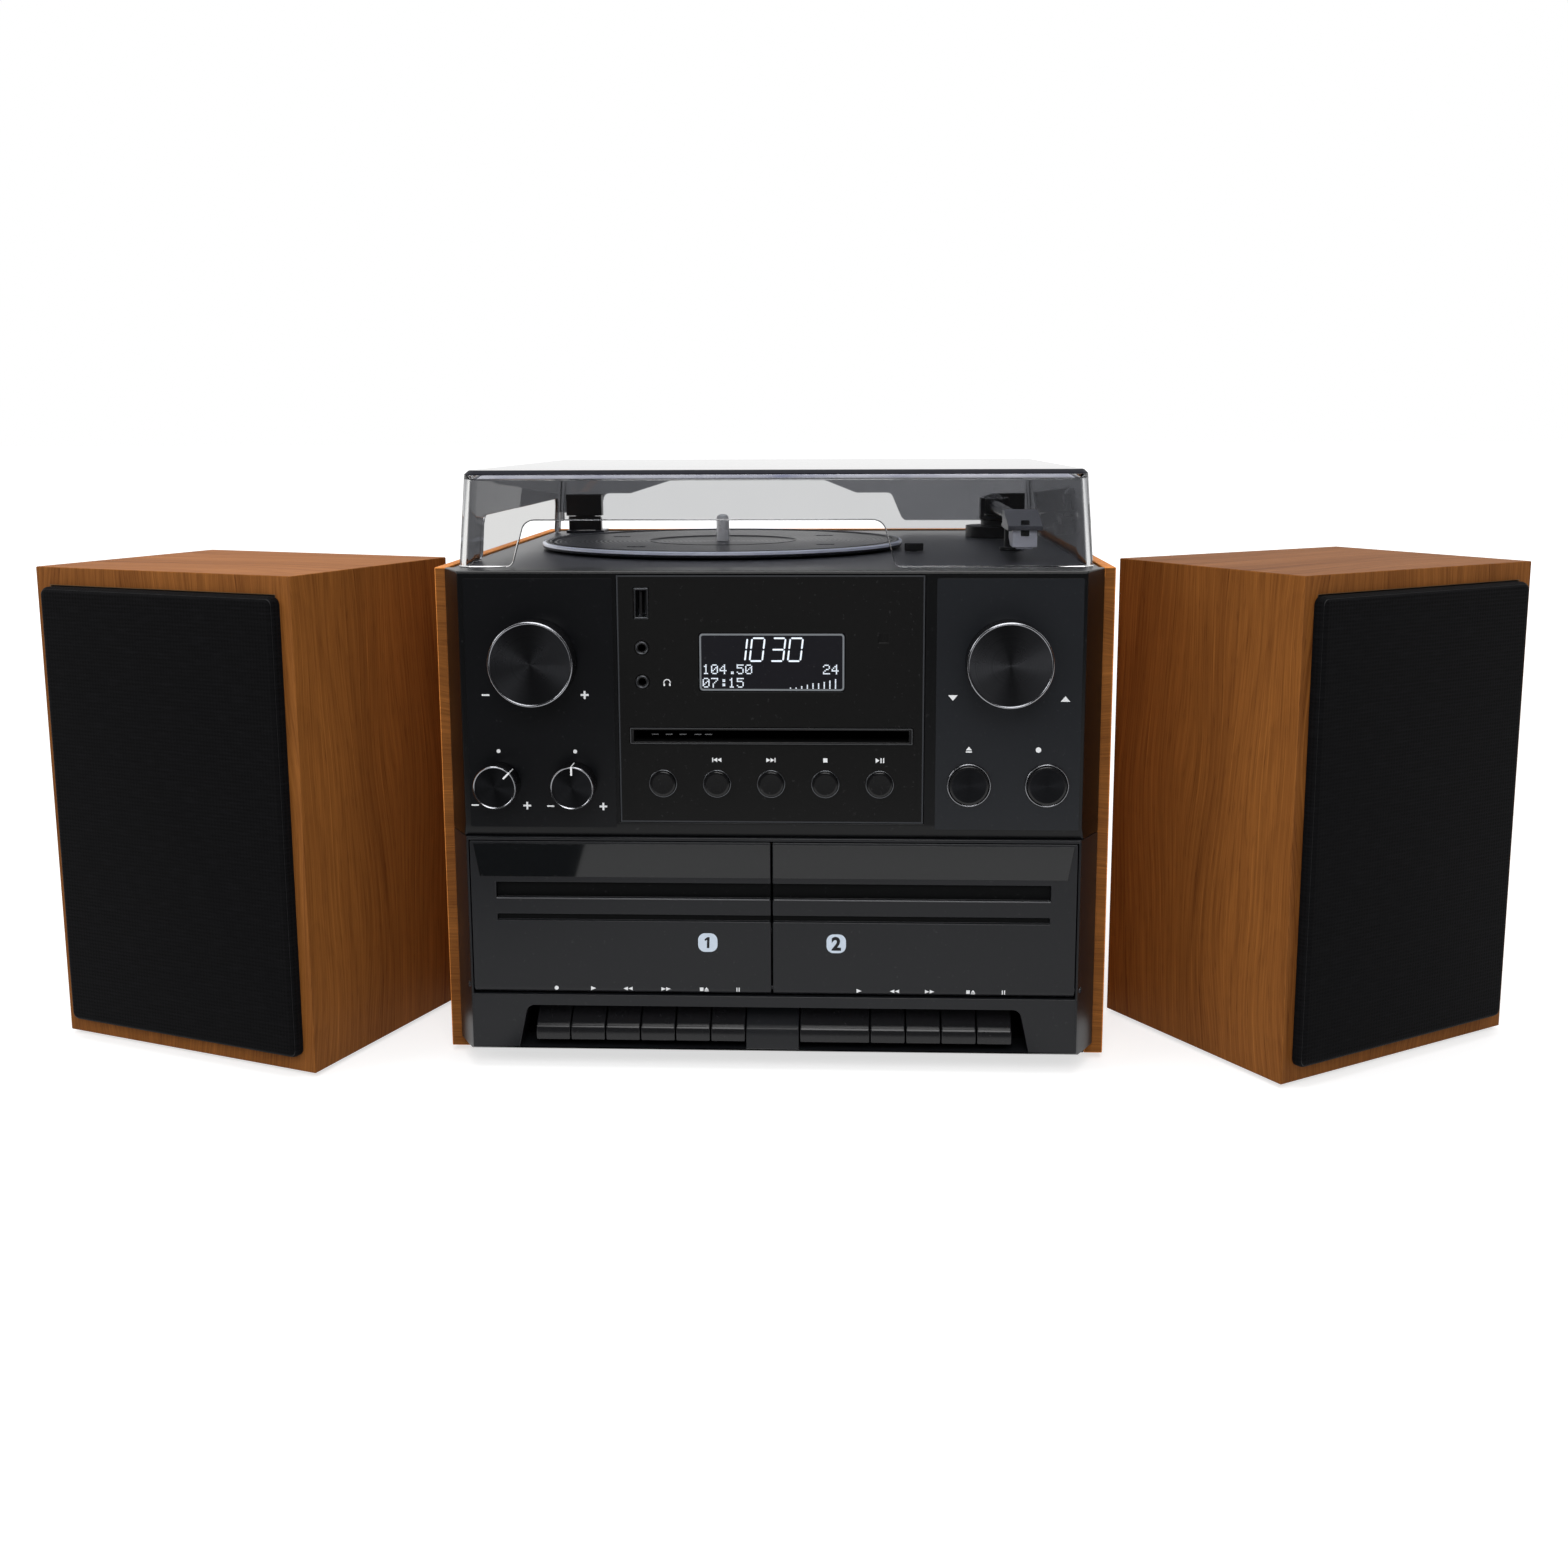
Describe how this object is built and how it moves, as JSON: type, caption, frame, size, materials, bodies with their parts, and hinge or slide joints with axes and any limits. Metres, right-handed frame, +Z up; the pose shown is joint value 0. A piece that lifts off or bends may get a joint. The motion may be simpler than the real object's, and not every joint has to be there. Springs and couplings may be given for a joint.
{
  "type": "stereo music centre",
  "caption": "Wood-sided stereo unit with a record player under a smoked cover, disc slot, cassette doors, piano keys and separate loudspeakers.",
  "frame": {"origin": "middle of the main unit's footprint, in the plane of the undersides of its feet", "axes": "+X to the right as seen from the front, +Y to the back, +Z up"},
  "size_m": [0.7299, 0.3546, 0.285],
  "materials": {
    "walnut_laminate": "satin wood-grain laminate",
    "base_plastic": "matt",
    "rubber": "matt",
    "deck_plastic": "satin",
    "front_plastic": "satin",
    "panel_gloss": "glossy",
    "display": "glossy window",
    "drive_metal": "satin",
    "door_plastic": "satin",
    "mechanism_metal": "satin",
    "rod_steel": "turned",
    "circuit_board": "matt",
    "transformer_iron": "matt",
    "motor_steel": "satin",
    "belt_rubber": "matt",
    "arm_plastic": "satin",
    "hinge_plastic": "satin",
    "socket_plastic": "matt",
    "socket_metal": "bright",
    "baffle_board": "matt black",
    "driver_cone": "matt",
    "grille_cloth": "woven",
    "smoked_acrylic": "clear, lightly smoked",
    "platter_plastic": "satin",
    "spindle_chrome": "polished",
    "pulley_brass": "turned",
    "arm_metal": "satin",
    "cartridge_plastic": "glossy",
    "knob_plastic": "turned, with a bright rim",
    "button_plastic": "satin, with a bright ring",
    "key_plastic": "satin"
  },
  "bodies": {
    "root": {"cabinet_shell": "walnut_laminate", "base_plate": "base_plastic", "rubber_feet": "rubber", "turntable_deck": "deck_plastic", "front_fascia": "front_plastic", "display_panel": "panel_gloss", "lcd_module": "display", "cd_mechanism": "drive_metal", "cassette_surround": "door_plastic", "cassette_mechanisms": "mechanism_metal", "pivot_rods": "rod_steel", "circuit_boards": "circuit_board", "transformer": "transformer_iron", "turntable_motor": "motor_steel", "drive_belt": "belt_rubber", "tonearm_base": "arm_plastic", "hinge_brackets": "hinge_plastic", "rear_socket_plates": "socket_plastic", "front_sockets": "socket_metal", "speaker_cabinets": "walnut_laminate", "speaker_baffles": "baffle_board", "speaker_drivers": "driver_cone"},
    "dust_cover": {"dust_cover": "smoked_acrylic", "lid_hinge_arms": "hinge_plastic"},
    "platter": {"platter": "platter_plastic", "record_spindle": "spindle_chrome"},
    "motor_pulley": {"motor_pulley": "pulley_brass"},
    "tonearm_gimbal": {"tonearm_gimbal": "arm_plastic"},
    "tonearm": {"tonearm": "arm_metal", "cartridge": "cartridge_plastic"},
    "cue_lever": {"cue_lever": "arm_plastic"},
    "speed_lever": {"speed_lever": "arm_plastic"},
    "volume_shaft": {"volume_shaft": "rod_steel"},
    "volume_knob": {"volume_knob": "knob_plastic"},
    "select_shaft": {"select_shaft": "rod_steel"},
    "select_knob": {"select_knob": "knob_plastic"},
    "bass_knob": {"bass_knob": "knob_plastic"},
    "treble_knob": {"treble_knob": "knob_plastic"},
    "eject_button": {"eject_button": "button_plastic"},
    "record_button": {"record_button": "button_plastic"},
    "left_grille": {"left_grille": "grille_cloth"},
    "right_grille": {"right_grille": "grille_cloth"},
    "panel_button_1": {"panel_button_1": "button_plastic"},
    "panel_button_2": {"panel_button_2": "button_plastic"},
    "panel_button_3": {"panel_button_3": "button_plastic"},
    "panel_button_4": {"panel_button_4": "button_plastic"},
    "panel_button_5": {"panel_button_5": "button_plastic"},
    "cassette_door_1": {"cassette_door_1": "door_plastic"},
    "cassette_door_2": {"cassette_door_2": "door_plastic"},
    "key_1_1": {"key_1_1": "key_plastic"},
    "key_1_2": {"key_1_2": "key_plastic"},
    "key_1_3": {"key_1_3": "key_plastic"},
    "key_1_4": {"key_1_4": "key_plastic"},
    "key_1_5": {"key_1_5": "key_plastic"},
    "key_1_6": {"key_1_6": "key_plastic"},
    "key_2_1": {"key_2_1": "key_plastic"},
    "key_2_2": {"key_2_2": "key_plastic"},
    "key_2_3": {"key_2_3": "key_plastic"},
    "key_2_4": {"key_2_4": "key_plastic"},
    "key_2_5": {"key_2_5": "key_plastic"}
  },
  "joints": [
    {"name": "lid_hinge", "type": "hinge", "parent": "root", "child": "dust_cover", "pos_m": [0, 0.13, 0.2465], "axis": [-1, 0, 0], "range_deg": [0, 75]},
    {"name": "platter_spin", "type": "hinge", "parent": "root", "child": "platter", "pos_m": [-0.035, -0.0025, 0.2434], "axis": [0, 0, 1], "continuous": true},
    {"name": "pulley_spin", "type": "hinge", "parent": "root", "child": "motor_pulley", "pos_m": [0.02726, 0.04109, 0.232], "axis": [0, 0, 1], "continuous": true},
    {"name": "arm_swing", "type": "hinge", "parent": "root", "child": "tonearm_gimbal", "pos_m": [0.122, 0.0825, 0.249], "axis": [0, 0, -1], "range_deg": [0, 44]},
    {"name": "arm_lift", "type": "hinge", "parent": "tonearm_gimbal", "child": "tonearm", "pos_m": [0.122, 0.0825, 0.2575], "axis": [-1, 0, 0], "range_deg": [0, 5]},
    {"name": "cue_lever_turn", "type": "hinge", "parent": "root", "child": "cue_lever", "pos_m": [0.136, 0.0705, 0.249], "axis": [-1, 0, 0], "range_deg": [0, 55]},
    {"name": "speed_slide", "type": "slide", "parent": "root", "child": "speed_lever", "axis": [0, 1, 0], "range_m": [0, 0.012]},
    {"name": "volume_push", "type": "slide", "parent": "root", "child": "volume_shaft", "axis": [0, 1, 0], "range_m": [0, 0.0012], "stiffness_N_per_m": 400, "springref_m": -0.002},
    {"name": "volume_turn", "type": "hinge", "parent": "volume_shaft", "child": "volume_knob", "pos_m": [-0.109, -0.1775, 0.1984], "axis": [0, 1, 0], "continuous": true},
    {"name": "select_push", "type": "slide", "parent": "root", "child": "select_shaft", "axis": [0, 1, 0], "range_m": [0, 0.0012], "stiffness_N_per_m": 400, "springref_m": -0.002},
    {"name": "select_turn", "type": "hinge", "parent": "select_shaft", "child": "select_knob", "pos_m": [0.109, -0.1775, 0.1984], "axis": [0, 1, 0], "continuous": true},
    {"name": "bass_turn", "type": "hinge", "parent": "root", "child": "bass_knob", "pos_m": [-0.1278, -0.1725, 0.1405], "axis": [0, 1, 0], "range_deg": [-195, 105]},
    {"name": "treble_turn", "type": "hinge", "parent": "root", "child": "treble_knob", "pos_m": [-0.0917, -0.1725, 0.1405], "axis": [0, 1, 0], "range_deg": [-150, 150]},
    {"name": "eject_push", "type": "slide", "parent": "root", "child": "eject_button", "axis": [0, 1, 0], "range_m": [0, 0.0012], "stiffness_N_per_m": 300, "springref_m": -0.002},
    {"name": "record_push", "type": "slide", "parent": "root", "child": "record_button", "axis": [0, 1, 0], "range_m": [0, 0.0012], "stiffness_N_per_m": 300, "springref_m": -0.002},
    {"name": "panel_push_1", "type": "slide", "parent": "root", "child": "panel_button_1", "axis": [0, 1, 0], "range_m": [0, 0.0008], "stiffness_N_per_m": 300, "springref_m": -0.002},
    {"name": "panel_push_2", "type": "slide", "parent": "root", "child": "panel_button_2", "axis": [0, 1, 0], "range_m": [0, 0.0008], "stiffness_N_per_m": 300, "springref_m": -0.002},
    {"name": "panel_push_3", "type": "slide", "parent": "root", "child": "panel_button_3", "axis": [0, 1, 0], "range_m": [0, 0.0008], "stiffness_N_per_m": 300, "springref_m": -0.002},
    {"name": "panel_push_4", "type": "slide", "parent": "root", "child": "panel_button_4", "axis": [0, 1, 0], "range_m": [0, 0.0008], "stiffness_N_per_m": 300, "springref_m": -0.002},
    {"name": "panel_push_5", "type": "slide", "parent": "root", "child": "panel_button_5", "axis": [0, 1, 0], "range_m": [0, 0.0008], "stiffness_N_per_m": 300, "springref_m": -0.002},
    {"name": "door_1_open", "type": "hinge", "parent": "root", "child": "cassette_door_1", "pos_m": [-0.0718, -0.1695, 0.0406], "axis": [1, 0, 0], "range_deg": [0, 28]},
    {"name": "door_2_open", "type": "hinge", "parent": "root", "child": "cassette_door_2", "pos_m": [0.0718, -0.1695, 0.0406], "axis": [1, 0, 0], "range_deg": [0, 28]},
    {"name": "key_1_1_press", "type": "hinge", "parent": "root", "child": "key_1_1", "pos_m": [0, -0.14, 0.024], "axis": [1, 0, 0], "range_deg": [0, 5], "stiffness_Nm_per_rad": 0.6, "springref_deg": -4.58},
    {"name": "key_1_2_press", "type": "hinge", "parent": "root", "child": "key_1_2", "pos_m": [0, -0.14, 0.024], "axis": [1, 0, 0], "range_deg": [0, 5], "stiffness_Nm_per_rad": 0.6, "springref_deg": -4.58},
    {"name": "key_1_3_press", "type": "hinge", "parent": "root", "child": "key_1_3", "pos_m": [0, -0.14, 0.024], "axis": [1, 0, 0], "range_deg": [0, 5], "stiffness_Nm_per_rad": 0.6, "springref_deg": -4.58},
    {"name": "key_1_4_press", "type": "hinge", "parent": "root", "child": "key_1_4", "pos_m": [0, -0.14, 0.024], "axis": [1, 0, 0], "range_deg": [0, 5], "stiffness_Nm_per_rad": 0.6, "springref_deg": -4.58},
    {"name": "key_1_5_press", "type": "hinge", "parent": "root", "child": "key_1_5", "pos_m": [0, -0.14, 0.024], "axis": [1, 0, 0], "range_deg": [0, 5], "stiffness_Nm_per_rad": 0.6, "springref_deg": -4.58},
    {"name": "key_1_6_press", "type": "hinge", "parent": "root", "child": "key_1_6", "pos_m": [0, -0.14, 0.024], "axis": [1, 0, 0], "range_deg": [0, 5], "stiffness_Nm_per_rad": 0.6, "springref_deg": -4.58},
    {"name": "key_2_1_press", "type": "hinge", "parent": "root", "child": "key_2_1", "pos_m": [0, -0.14, 0.024], "axis": [1, 0, 0], "range_deg": [0, 5], "stiffness_Nm_per_rad": 0.6, "springref_deg": -4.58},
    {"name": "key_2_2_press", "type": "hinge", "parent": "root", "child": "key_2_2", "pos_m": [0, -0.14, 0.024], "axis": [1, 0, 0], "range_deg": [0, 5], "stiffness_Nm_per_rad": 0.6, "springref_deg": -4.58},
    {"name": "key_2_3_press", "type": "hinge", "parent": "root", "child": "key_2_3", "pos_m": [0, -0.14, 0.024], "axis": [1, 0, 0], "range_deg": [0, 5], "stiffness_Nm_per_rad": 0.6, "springref_deg": -4.58},
    {"name": "key_2_4_press", "type": "hinge", "parent": "root", "child": "key_2_4", "pos_m": [0, -0.14, 0.024], "axis": [1, 0, 0], "range_deg": [0, 5], "stiffness_Nm_per_rad": 0.6, "springref_deg": -4.58},
    {"name": "key_2_5_press", "type": "hinge", "parent": "root", "child": "key_2_5", "pos_m": [0, -0.14, 0.024], "axis": [1, 0, 0], "range_deg": [0, 5], "stiffness_Nm_per_rad": 0.6, "springref_deg": -4.58},
    {"name": "left_grille_pull", "type": "slide", "parent": "root", "child": "left_grille", "axis": [-0.3584, -0.9336, 0], "range_m": [0, 0.012]},
    {"name": "right_grille_pull", "type": "slide", "parent": "root", "child": "right_grille", "axis": [0.5373, -0.8434, 0], "range_m": [0, 0.012]}
  ],
  "couplings": [
    {"joint": "pulley_spin", "follows": "platter_spin", "ratio": 12.4}
  ]
}
